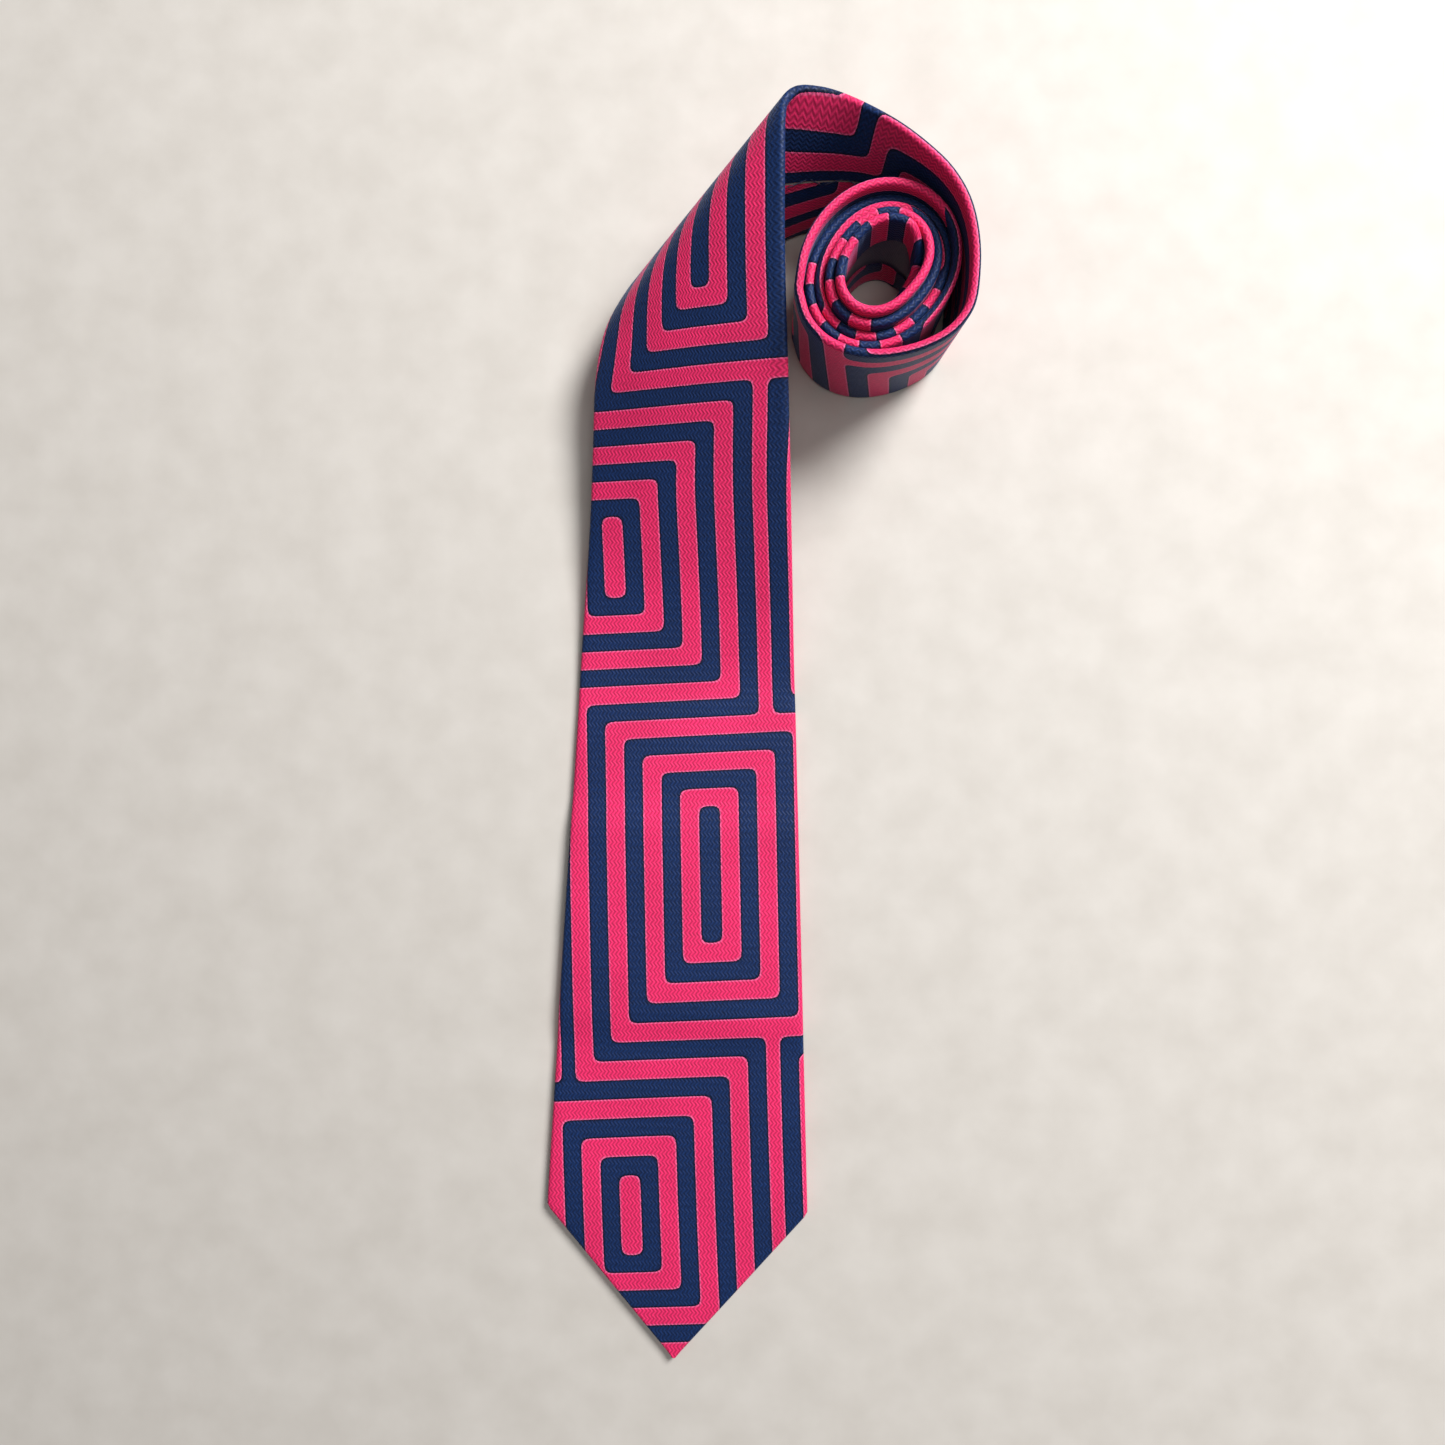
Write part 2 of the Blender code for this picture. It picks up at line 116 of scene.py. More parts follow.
# the coil, and the rows of matched edge points that lead up to it
COIL_CENTRE = (61.4, 367.1)
COIL_RADIUS = 26.9
COIL_PITCH = 3.12
COIL_EGG, COIL_EGG_AT = 0.8, math.radians(110)
COIL_OVAL, COIL_OVAL_AT = 2.0, math.radians(56)
COIL_ZERO = math.radians(-36)
COIL_START = math.radians(-177)
COIL_STEP = math.radians(6)
RISE = [
    ((-38.0, 238.0, 1.5), (37.7, 240.0, 1.8)),
    ((-36.8, 259.5, 2.8), (36.6, 263.6, 7.5)),
    ((-35.4, 279.0, 5.0), (34.9, 298.7, 20.3)),
    ((-34.2, 298.8, 7.5), (32.9, 337.9, 33.8)),
    ((-33.4, 319.5, 10.2), (30.9, 372.5, 44.0)),
    ((-32.5, 339.6, 12.8), (30.3, 397.7, 50.0)),
    ((-29.5, 355.3, 13.6), (30.1, 409.3, 50.9)),
    ((-23.4, 367.9, 12.3), (30.8, 416.1, 49.5)),
    ((-17.7, 375.8, 10.2), (34.4, 420.0, 48.9)),
    ((-10.3, 378.2, 7.9), (40.0, 420.6, 47.9)),
    ((2.1, 382.1, 5.3), (46.1, 419.6, 47.2)),
    ((21.9, 390.6, 2.1), (54.3, 415.5, 48.2)),
    ((40.3, 398.1, 0.3), (64.1, 408.5, 50.6)),
    ((55.3, 400.6, 0.1), (73.8, 400.1, 52.1)),
    ((67.6, 398.6, 0.3), (80.8, 392.8, 52.4)),
    ((80.4, 391.8, 0.2), (85.8, 384.2, 52.4)),
    ((87.6, 380.2, 0.1), (88.6, 373.6, 52.0)),
    ((88.6, 367.0, 0.1), (89.2, 362.5, 51.2)),
    ((86.8, 356.0, 0.1), (87.8, 352.6, 50.4)),
    ((81.6, 348.4, 0.1), (82.8, 345.8, 49.8)),
    ((74.4, 343.8, 0.1), (75.6, 341.6, 49.2)),
    ((66.5, 341.0, 0.1), (67.3, 339.2, 48.6)),
    ((58.0, 340.1, 0.1), (58.5, 338.6, 47.8)),
    ((50.2, 341.5, 0.1), (50.4, 340.2, 47.1)),
    ((43.4, 345.4, 0.1), (43.1, 344.2, 46.5)),
    ((38.4, 351.8, 0.1), (37.9, 350.8, 45.8)),
    ((35.8, 360.0, 0.1), (35.4, 359.6, 45.0)),
]

# the woven figure, in cloth millimetres
BAND = 6.52                 # width of a stripe beside the long sides of the figure
CORE_HALF = 3.71            # half the width of the bar in the middle of each figure
RED_CORE_X, NAVY_CORE_X = -15.4, 15.87
FIGURE_REPEAT_X = 103.57
FIGURE_REPEAT_Y = 232.0
NAVY_CORE_LOW, NAVY_CORE_HIGH = 145.8, 193.6
RED_CORE_TOP, RED_CORE_FOOT = 64.9, 268.9
STRIPES_BETWEEN = 12
LEAN = 0.037                # how far the figure leans for each millimetre along the cloth
TIP_LEAN, TIP_LEAN_OVER = 2.86, 60.0
TILT = 0.071                # how far its cross stripes climb for each millimetre across
DRAWN_FROM, DRAWN_TO, DRAWN_BY = 297.0, 369.0, 9.3
CORNER_SOFT = 0.7           # size of its rounded corners, in stripes

# the herringbone: half its repeat along the cloth, its slope, and the width of a rib
ZIGZAG_LONG, ZIGZAG_SLOPE, RIB = 1.35, 0.8, 1.35

# how far the figure is drawn aside on the rise, where the cloth is pulled round to the fold
ASIDE_AT = (-27.0, -15.8, -5.3, 4.8, 16.6, 29.4, 41.0)
ASIDE_BY = (-10.5, -9.0, -6.5, -3.5, -2.3, -2.1, -7.5)
ASIDE_START, ASIDE_FULL, ASIDE_FADE, ASIDE_END = 300.0, 358.0, 420.0, 520.0

CRIMSON = (0.72, 0.024, 0.118)
CRIMSON_EDGE = (0.78, 0.16, 0.34)
NAVY = (0.005, 0.019, 0.076)
NAVY_EDGE = (0.002, 0.004, 0.016)
WRONG_SIDE_DARK, WRONG_SIDE_LIGHT = (0.030, 0.016, 0.040), (0.10, 0.022, 0.050)

# the set: the camera's place in the strip's frame, its turns, and the floor's height in metres
CAMERA_IN_STRIP = (27.0, 224.0, 384.0)
CAMERA_TURN = math.radians(1.13)
CAMERA_TIP = math.radians(2.134)
CAMERA_LENS = 27.08
FLOOR_AT = -0.0001
FLOOR_HALF = 3.0


def strip_width(s):
    """Full width of the finished tie before its ends are pointed."""
    blade = BLADE_WIDTH - BLADE_TAPER * (s - BLADE_POINT)
    soft = 6.0
    body = NECK_WIDTH + soft * np.logaddexp(0.0, (blade - NECK_WIDTH) / soft)
    return body + TAIL_TAPER * np.maximum(s - TAIL_START, 0.0)


def half_width(s):
    """Half the width of the tie at s, running down to a point at both tips."""
    half = strip_width(s) / 2
    for distance, point, widest in [
        (s, BLADE_POINT, strip_width(BLADE_POINT) / 2),
        (TIE_LENGTH - s, TAIL_POINT, strip_width(TIE_LENGTH - TAIL_POINT) / 2),
    ]:
        ramp = TIP_BLUNTNESS / 2 + (widest - TIP_BLUNTNESS / 2) * np.clip(distance / point, 0, 1)
        half = np.where(distance < point, ramp, half)
    return half


def flap_edge(s):
    """Distance from the centre line to the inner edge of either back flap."""
    hem = half_width(s) - HEM
    edge = np.full_like(s, SEAM_HALF_GAP)
    for distance, point, opening, widest in [
        (s, BLADE_POINT, BLADE_OPENING, strip_width(BLADE_POINT) / 2),
        (TIE_LENGTH - s, TAIL_POINT, TAIL_OPENING, strip_width(TIE_LENGTH - TAIL_POINT) / 2),
    ]:
        start = widest - HEM
        closing = start + (SEAM_HALF_GAP - start) * (distance - point) / (opening - point)
        edge = np.where(distance < point, hem, edge)
        edge = np.where((distance >= point) & (distance < opening), closing, edge)
    return np.maximum(edge, SEAM_HALF_GAP)


def smooth_curve(points, per_span):
    """A Catmull-Rom curve through the points, sampled per_span times between each two."""
    p = np.vstack([2 * points[0] - points[1], points, 2 * points[-1] - points[-2]])
    f = np.linspace(0, 1, per_span, endpoint=False)[:, None]
    spans = []
    for a, b, c, d in zip(p[:-3], p[1:-2], p[2:-1], p[3:]):
        knots = np.cumsum([0.0] + [math.sqrt(np.linalg.norm(q - r)) for q, r in ((a, b), (b, c), (c, d))])
        start, end = knots[1], knots[2]
        into = (b - a) / (start - knots[0]) - (c - a) / (end - knots[0]) + (c - b) / (end - start)
        out = (c - b) / (end - start) - (d - b) / (knots[3] - start) + (d - c) / (knots[3] - end)
        into, out = into * (end - start), out * (end - start)
        spans.append(
            (2 * f**3 - 3 * f**2 + 1) * b
            + (f**3 - 2 * f**2 + f) * into
            + (3 * f**2 - 2 * f**3) * c
            + (f**3 - f**2) * out
        )
    return np.vstack(spans + [points[-1:]])


def coil_plan(angle):
    """Plan position of the coil's wall at a running angle, which falls as the coil winds inwards."""
    turns = (COIL_ZERO - angle) / (2 * math.pi)
    radius = (
        COIL_RADIUS
        - COIL_PITCH * turns
        + COIL_EGG * np.cos(angle - COIL_EGG_AT)
        + COIL_OVAL * np.cos(2 * (angle - COIL_OVAL_AT))
    )
    return COIL_CENTRE[0] + radius * np.cos(angle), COIL_CENTRE[1] + radius * np.sin(angle)


def lengths(points):
    """Running length along a polyline."""
    return np.concatenate([[0.0], np.cumsum(np.linalg.norm(np.diff(points, axis=0), axis=1))])


def make_carrier():
    """Left and right edge curves against the length along the middle of the strip."""
    flat = np.array([HINGE - 20, HINGE - 10, HINGE + 2])
    half = strip_width(flat) / 2
    left = [(-w, s, HALF_THICKNESS) for w, s in zip(half, flat)] + [row[0] for row in RISE]
    right = [(w, s, HALF_THICKNESS) for w, s in zip(half, flat)] + [row[1] for row in RISE]
    left = smooth_curve(np.array(left), 12)
    right = smooth_curve(np.array(right), 12)
    rise_length = flat[0] + (lengths(left)[-1] + lengths(right)[-1]) / 2

    angles = np.arange(COIL_START, COIL_START - 2 * math.pi * 6, -COIL_STEP)
    x, y = coil_plan(angles)
    along = rise_length + np.hypot(x[0] - right[-1][0], y[0] - right[-1][1])
    along = along + lengths(np.column_stack([x, y]))
    top = strip_width(along)
    coil_left = np.column_stack([x, y, 0 * x])
    coil_right = np.column_stack([x, y, top])
    left = smooth_curve(np.vstack([left[::4], coil_left]), 4)
    right = smooth_curve(np.vstack([right[::4], coil_right]), 4)
    along = flat[0] + (lengths(left) + lengths(right)) / 2
    flat_start = np.array([[-strip_width(0.0) / 2, 0.0, HALF_THICKNESS]])
    left = np.vstack([flat_start, left])
    right = np.vstack([flat_start * [-1, 1, 1], right])
    return np.concatenate([[0.0], along]), left, right


ALONG, LEFT_EDGE, RIGHT_EDGE = make_carrier()


def edge_length(edge):
    """Cloth length along one edge, the same at both edges again once the cloth is wound."""
    return np.concatenate([[0.0], ALONG[1] + lengths(edge[1:])])


LEFT_LENGTH, RIGHT_LENGTH = edge_length(LEFT_EDGE), edge_length(RIGHT_EDGE)
LEFTOVER = (RIGHT_LENGTH[-1] - LEFT_LENGTH[-1]) / 2
LEFTOVER_START, LEFTOVER_END = 360.0, 560.0


def cloth_length(s, t):
    """Length along the cloth itself, which differs between the edges where the tie rises and folds."""
    share = t / strip_width(s)
    spread = LEFTOVER * np.clip((s - LEFTOVER_START) / (LEFTOVER_END - LEFTOVER_START), 0, 1)
    left = np.interp(s, ALONG, LEFT_LENGTH) + spread
    right = np.interp(s, ALONG, RIGHT_LENGTH) - spread
    return left * (0.5 - share) + right * (0.5 + share)


def middle(s, t):
    """The carrier's middle surface, where t is measured across the strip."""
    left = np.stack([np.interp(s, ALONG, LEFT_EDGE[:, k]) for k in range(3)], axis=-1)
    right = np.stack([np.interp(s, ALONG, RIGHT_EDGE[:, k]) for k in range(3)], axis=-1)
    share = (t / strip_width(s))[..., None]
    point = (left + right) / 2 + share * (right - left)
    up = np.clip((s - HUMP_START + HUMP_RAMP) / HUMP_RAMP, 0, 1)
    down = np.clip((HUMP_END + HUMP_RAMP - s) / HUMP_RAMP, 0, 1)
    ramp = np.minimum(up, down)
    point[..., 2] += HUMP * ramp * ramp * (3 - 2 * ramp)
    point[..., 2] += ripple(s, t)
    return point


def ripple(s, t):
    """Shallow waves of the loose blade: it never quite lies flat."""
    fade = np.clip(s / WAVE_FADE, 0, 1) * np.clip((HINGE - s) / WAVE_FADE, 0, 1)
    waves = np.sin(s / 17 + t / 21) + 0.7 * np.sin(s / 29 - t / 15 + 1.3)
    return WAVE_HEIGHT * fade * (1.7 + waves)


def surface(s, t, h):
    """A point of the tie at strip position s, t and at height h towards its face."""
    s, t, h = np.broadcast_arrays(np.asarray(s, float), np.asarray(t, float), np.asarray(h, float))
    step = 0.8
    along = middle(s + step, t) - middle(s - step, t)
    across = middle(s, t + step) - middle(s, t - step)
    normal = np.cross(across, along)
    normal /= np.linalg.norm(normal, axis=-1, keepdims=True)
    return middle(s, t) + h[..., None] * normal


def origin():
    """Where the strip's own frame has its zero, found from the blade, which lies straight."""
    low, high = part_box("shell_blade")
    return np.array([(low[0] + high[0]) / 2, low[1], 0.0])


ORIGIN = origin()


def place(point):
    """A strip frame point, in millimetres, as metres in the model's frame."""
    return np.asarray(point) * MM + ORIGIN


# ---------------------------------------------------------------- meshes


def tube_faces(rows, columns, first, closed):
    """Quads over a grid of points, row by row, whose columns may close into a ring."""
    last = columns if closed else columns - 1
    faces = []
    for row in range(rows - 1):
        for column in range(last):
            a = first + row * columns + column
            b = first + row * columns + (column + 1) % columns
            faces.append((a, b, b + columns, a + columns))
    return faces


def closed_sheet(outer, inner):
    """The closed thin body between two grids of the same shape."""
    rows, columns = outer.shape[:2]
    count = rows * columns
    faces = tube_faces(rows, columns, 0, False)
    faces += [face[::-1] for face in tube_faces(rows, columns, count, False)]
    rim = list(range(columns - 1))
    rim += [row * columns + columns - 1 for row in range(rows - 1)]
    rim += [(rows - 1) * columns + column for column in range(columns - 1, 0, -1)]
    rim += [row * columns for row in range(rows - 1, 0, -1)]
    for a, b in zip(rim, rim[1:] + rim[:1]):
        faces.append((b, a, a + count, b + count))
    return np.vstack([outer.reshape(-1, 3), inner.reshape(-1, 3)]), faces


def thread(points, radius, sides=8):
    """A round thread along a line of points, with closed ends."""
    points = np.asarray(points, float)
    run = np.gradient(points, axis=0)
    run /= np.linalg.norm(run, axis=1, keepdims=True)
    side = np.cross(run, [0.0, 0.0, 1.0])
    side[np.linalg.norm(side, axis=1) < 0.1] = (1.0, 0.0, 0.0)
    side /= np.linalg.norm(side, axis=1, keepdims=True)
    up = np.cross(side, run)
    turn = np.linspace(0, 2 * math.pi, sides, endpoint=False)
    taper = np.ones(len(points))
    taper[[0, -1]] = 0.55
    ring = np.cos(turn)[None, :, None] * side[:, None] + np.sin(turn)[None, :, None] * up[:, None]
    vertices = (points[:, None] + radius * taper[:, None, None] * ring).reshape(-1, 3)
    faces = tube_faces(len(points), sides, 0, True)
    faces.append(tuple(range(sides)))
    faces.append(tuple(range(len(vertices) - 1, len(vertices) - 1 - sides, -1)))
    return vertices, faces


def joined(parts):
    """Several meshes as one."""
    vertices, faces, first = [], [], 0
    for points, polygons in parts:
        vertices.append(points)
        faces += [tuple(first + i for i in polygon) for polygon in polygons]
        first += len(points)
    return np.vstack(vertices), faces


def outward(vertices, faces):
    """The faces turned so that the mesh's volume is positive."""
    volume = 0.0
    for face in faces:
        a = vertices[face[0]]
        for b, c in zip(face[1:-1], face[2:]):
            volume += np.dot(a, np.cross(vertices[b], vertices[c]))
    return faces if volume > 0 else [face[::-1] for face in faces]


def put(name, mesh, material, cloth=None):
    """Make the object, with the cloth's own coordinates on it where it has a weave."""
    vertices, faces = mesh
    data = bpy.data.meshes.new(name)
    data.from_pydata(place(vertices).tolist(), [], outward(vertices, faces))
    data.materials.append(material)
    data.shade_smooth()
    data.set_sharp_from_angle(angle=math.radians(50))
    if cloth is not None:
        attribute = data.attributes.new("cloth", "FLOAT_VECTOR", "POINT")
        attribute.data.foreach_set("vector", np.asarray(cloth, np.float32).ravel())
    piece = bpy.data.objects.new(name, data)
    bpy.context.scene.collection.objects.link(piece)
    return piece


def follow(piece, body):
    """Ride on one body, or, where the piece crosses the hinge, stay unparented with its transform baked
    into the mesh.
    """
    if body != "both":
        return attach(piece, body)
    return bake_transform(piece)


def stations(start, end):
    """Places along the strip, close together where the cloth bends."""
    marks = [start, start + 0.25, start + 0.7]
    for stop, step in [(BLADE_OPENING, COARSE), (240, MEDIUM), (450, FINE), (TIE_LENGTH, COILED)]:
        while marks[-1] + step < min(stop, end - 1.0):
            marks.append(marks[-1] + step)
    return np.array(marks + [end - 0.7, end - 0.25, end])


def seam_slant(s, x):
    """How far a piecing seam's bias carries a station along the cloth at x from its centre line."""
    shift = 0.0
    for seam in (NECK_SEAM, TAIL_SEAM):
        near = np.clip(1 - np.abs(s - seam) / SLANT_FADE, 0, 1)
        shift = shift + x * near * near * (3 - 2 * near)
    return shift


def wrap(half, flap, thickness):
    """Cross section of the face cloth: across positions, heights, and distance round the cloth."""
    roll = np.minimum(EDGE_ROUND, half / 2)
    flat = half - roll
    lip = np.minimum(flap, flat - 0.2)
    turn = np.linspace(-math.pi / 2, math.pi / 2, ROLL_STEPS)
    reach = np.maximum(roll - thickness, 0.05)
    height = HALF_THICKNESS - thickness
    columns = []
    back = np.linspace(0, 1, FLAP_STEPS, endpoint=False)
    tuck = np.clip(1 - back * (FLAP_STEPS - 1), 0, 1)
    for share, tucked in zip(back, tuck):
        t = lip + (flat - lip) * share
        h = -height + tucked * (LIP_TUCK if thickness == 0 else -LIP_TUCK)
        columns.append((-t, h + 0 * t, -(2 * flat + ROLL_LENGTH - t)))
    for angle in turn:
        t = flat + reach * math.cos(angle)
        distance = flat + ROLL_LENGTH * (0.5 - angle / math.pi)
        columns.append((-t, height * math.sin(angle) + 0 * t, -distance))
    for share in np.linspace(-1, 1, FRONT_STEPS + 1)[1:-1]:
        columns.append((flat * share, height + 0 * flat, flat * share))
    columns += [(-t, h, -x) for t, h, x in columns[FLAP_STEPS + ROLL_STEPS - 1::-1]]
    t, h, x = (np.stack([column[k] for column in columns], axis=1) for k in range(3))
    return t, h, x


def drawn_aside(x, y):
    """Where a point of the cloth lies in the undistorted figure."""
    rise = np.clip((y - ASIDE_START) / (ASIDE_FULL - ASIDE_START), 0, 1)
    fall = np.clip((ASIDE_END - y) / (ASIDE_END - ASIDE_FADE), 0, 1)
    weight = np.minimum(rise * rise * (3 - 2 * rise), fall * fall * (3 - 2 * fall))
    return x + weight * np.interp(x, ASIDE_AT, ASIDE_BY)


def face_cloth(start, end, cut):
    """The face cloth with its two flaps, and where each of its points lies in the woven cloth."""
    s = stations(start, end)
    grids, cloth = [], []
    for thickness, side in [(0.0, 0.0), (CLOTH, 1.0)]:
        t, h, x = wrap(half_width(s), flap_edge(s), thickness)
        along = s[:, None] + seam_slant(s[:, None], x)
        near_end = np.minimum(s - start, end - s)
        if thickness == 0.0:
            dip = SEAM_DIP * np.clip(1 - near_end / SEAM_DIP_LONG, 0, 1) ** 2
            dip = np.where((s < BLADE_POINT) | (s > TIE_LENGTH - TAIL_POINT), 0.0, dip)
            h = h * (1 - dip[:, None] / HALF_THICKNESS)
        grids.append(surface(along, t, h))
        y = cloth_length(along, t)
        figure = [drawn_aside(x, y) + cut[0], y + cut[1], np.full_like(x, side)]
        cloth.append(np.stack(figure, axis=-1).reshape(-1, 3))
    return closed_sheet(*grids), np.vstack(cloth)


def layer(start, end, inset, low, high):
    """A flat layer inside the tie, inset from its edges."""
    s = stations(start, end)
    half = np.maximum(half_width(s) - inset, 0.3)
    t = half[:, None] * np.linspace(-1, 1, LAYER_STEPS)[None, :]
    edge = 1 - np.abs(np.linspace(-1, 1, LAYER_STEPS))[None, :] ** 24 * 0.35
    mean, spread = (high + low) / 2, (high - low) / 2
    mean = np.broadcast_to(mean, s.shape)[:, None]
    spread = np.broadcast_to(spread, s.shape)[:, None] * edge
    grids = [surface(s[:, None], t, mean + spread), surface(s[:, None], t, mean - spread)]
    cloth = np.stack([t, cloth_length(s[:, None], t), 0 * t], axis=-1).reshape(-1, 3)
    return closed_sheet(*grids), np.vstack([cloth, cloth])


def beside_tipping(start, end, tip, change, inner, facing):
    """Interlining, thinner beside the lining of the pointed end and full thickness past it."""
    s = stations(start, end)
    beyond = np.clip((s - change) * math.copysign(0.5, change - tip), 0, 1)
    return layer(start, end, CLOTH + GAP + 0.4, facing + (-inner - facing) * beyond, inner)


def stitch(s0, t0, s1, t1, height, radius, lift):
    """One stitch lying on the back, from one hole to the next."""
    f = np.linspace(0, 1, 7)
    h = height - lift * np.sin(math.pi * f) ** 0.6
    return thread(surface(s0 + (s1 - s0) * f, t0 + (t1 - t0) * f, h), radius)


def slip_stitches(start, end):
    """The slip stitch that draws the flaps together: long slanting stitches over the seam."""
    parts = []
    height = -HALF_THICKNESS + 0.05
    for k in range(int((end - start) / STITCH_PITCH)):
        s = start + k * STITCH_PITCH
        t = STITCH_REACH if k % 2 else -STITCH_REACH
        parts.append(stitch(s, -t, s + STITCH_PITCH * 0.8, t, height, 0.17, 0.12))
    return joined(parts)


def thread_loop(at, long, wide, height):
    """The slack end of the slip stitch, left in a loop in the opening so that the seam can give."""
    turn = np.linspace(0, 2 * math.pi, 49)
    s = at + long / 2 * np.sin(turn)
    t = wide / 2 * np.cos(turn) * (1 + 0.15 * np.sin(3 * turn))
    return thread(surface(s, t, height), THREAD)


def bar_tack(at, wide, long, height):
    """A bar tack: threads wound side by side over a short core."""
    parts = []
    count = int(wide / 0.34)
    for k in range(count):
        t = -wide / 2 + (k + 0.5) * wide / count
        parts.append(stitch(at - long / 2, t - 0.08, at + long / 2, t + 0.08, height + 0.12, 0.19, 0.14))
    return joined(parts)


def end_stitches(at, long, side, wide, height):
    """A row of stitches over one end of a piece that lies across the back."""
    parts = []
    count = int(long / 2.2)
    for k in range(count):
        s = at - long / 2 + (k + 0.5) * long / count
        inner, outer = side * (wide / 2 - 0.9), side * (wide / 2 + 1.1)
        parts.append(stitch(s, inner, s + 0.5, outer, height, THREAD, 0.1))
    return joined(parts)


def label_sheet(at, long, wide, height, thickness):
    """A woven label: its two ends are folded under, which makes it thicker there."""
    f = np.linspace(-1, 1, 33)[None, :]
    s = at + long / 2 * np.linspace(-1, 1, 17)[:, None]
    t = wide / 2 * f
    ends = np.clip((np.abs(f) - 0.84) / 0.05, 0, 1)
    rounding = 1 - 0.5 * np.abs(f) ** 40
    wave = 0.06 * np.sin(s / 3.1) * np.cos(t / 5.0)
    top = height - thickness * (0.55 + 0.45 * ends) * rounding - wave * (1 - ends)
    low = height + 0 * top
    s, t = np.broadcast_arrays(s, t)
    cloth = np.stack([t, s, 0 * s], axis=-1).reshape(-1, 3)
    return closed_sheet(surface(s, t, top), surface(s, t, low)), np.vstack([cloth, cloth])


def keeper_tube(at, long, wide, height, thickness):
    """The keeper: a flattened tube of cloth across the back, which holds the tail when worn."""
    turn = np.linspace(0, 2 * math.pi, 40, endpoint=False)
    f = np.linspace(-1, 1, 41)[:, None]
    slack = 0.1 * np.cos(math.pi * f / 2)
    grids, cloth = [], []
    for inset in (0.0, KEEPER_CLOTH):
        half_long, half_thick = long / 2 - inset, thickness / 2 - inset
        across = np.sign(np.cos(turn)) * np.abs(np.cos(turn)) ** 0.35 * half_long
        rise = np.sign(np.sin(turn)) * np.abs(np.sin(turn)) ** 0.6 * half_thick
        pinch = 1 - 0.03 * (1 - f * f)
        s = at + across[None, :] * pinch
        t = wide / 2 * f + 0 * s
        h = height - thickness / 2 + rise[None, :] + slack
        grids.append(surface(s, t, h))
        cloth.append(np.stack([s - at + 3 * long * (rise[None, :] > 0), t, 0 * s], axis=-1).reshape(-1, 3))
    rows, columns = grids[0].shape[:2]
    count = rows * columns
    faces = tube_faces(rows, columns, 0, True)
    faces += [face[::-1] for face in tube_faces(rows, columns, count, True)]
    for row in (0, rows - 1):
        for column in range(columns):
            a = row * columns + column
            b = row * columns + (column + 1) % columns
            faces.append((b, a, a + count, b + count) if row == 0 else (a, b, b + count, a + count))
    vertices = np.vstack([grid.reshape(-1, 3) for grid in grids])
    return (vertices, faces), np.vstack(cloth)


# ---------------------------------------------------------------- materials


class Nodes:
    """A short way to write shader nodes."""

    def __init__(self, name):
        self.material = bpy.data.materials.new(name)
        self.material.use_nodes = True
        self.tree = self.material.node_tree
        self.shader = self.tree.nodes["Principled BSDF"]

    def add(self, kind, inputs=(), **settings):
        """A node of a kind, whose inputs are given by name or number as values or sockets."""
        node = self.tree.nodes.new(kind)
        for key, value in settings.items():
            setattr(node, key, value)
        for key, value in dict(inputs).items():
            if isinstance(value, bpy.types.NodeSocket):
                self.tree.links.new(value, node.inputs[key])
            else:
                node.inputs[key].default_value = value
        return node

    def math(self, operation, *values):
        """The result of one operation on numbers or sockets."""
        return self.add("ShaderNodeMath", dict(enumerate(values)), operation=operation).outputs[0]

    def mix(self, factor, a, b, blend="MIX"):
        """A blend of two colours, each given as three numbers or as a socket."""
        node = self.add("ShaderNodeMix", data_type="RGBA", blend_type=blend)
        for key, value in (("Factor", factor), ("A", a), ("B", b)):
            socket = next(i for i in node.inputs if i.name == key and i.enabled)
            if isinstance(value, bpy.types.NodeSocket):
                self.tree.links.new(value, socket)
            elif key == "Factor":
                socket.default_value = value
            else:
                socket.default_value = (*value, 1.0)
        return next(o for o in node.outputs if o.enabled)

    def ramp(self, value, low, high, to_low=0.0, to_high=1.0, smooth=False):
        """A value's range mapped to another range, and held at its ends."""
        inputs = {"Value": value, "From Min": low, "From Max": high, "To Min": to_low, "To Max": to_high}
        kind = "SMOOTHSTEP" if smooth else "LINEAR"
        return self.add("ShaderNodeMapRange", inputs, interpolation_type=kind).outputs[0]

    def cloth(self):
        """Across, along and side, in millimetres of the cloth's own."""
        found = self.add("ShaderNodeAttribute", attribute_name="cloth")
        return self.add("ShaderNodeSeparateXYZ", {0: found.outputs["Vector"]}).outputs

    def vector(self, x, y):
        """A vector in the cloth's plane."""
        return self.add("ShaderNodeCombineXYZ", {0: x, 1: y}).outputs[0]

    def noise(self, vector, scale, detail=2.0, roughness=0.5):
        """Cloudy noise from about 0 to 1."""
        inputs = {"Vector": vector, "Scale": scale, "Detail": detail, "Roughness": roughness}
        return self.add("ShaderNodeTexNoise", inputs).outputs["Fac"]

    def finish(self, colour, roughness, height=None, depth=0.1, **constant):
        """Link what varies, set what doesn't, and return the material."""
        for socket, value in (("Base Color", colour), ("Roughness", roughness)):
            if isinstance(value, bpy.types.NodeSocket):
                self.tree.links.new(value, self.shader.inputs[socket])
            else:
                self.shader.inputs[socket].default_value = value
        if height is not None:
            inputs = {"Height": height, "Distance": depth * MM, "Strength": 0.9}
            bump = self.add("ShaderNodeBump", inputs)
            self.tree.links.new(bump.outputs[0], self.shader.inputs["Normal"])
        for key, value in constant.items():
            self.shader.inputs[key.replace("_", " ")].default_value = value
        return self.material


def folded(n, value, repeat):
    """Distance from the nearest of a row of repeats, with its sign."""
    shifted = n.math("DIVIDE", value, repeat)
    whole = n.math("ROUND", shifted)
    return n.math("MULTIPLY", n.math("SUBTRACT", shifted, whole), repeat)


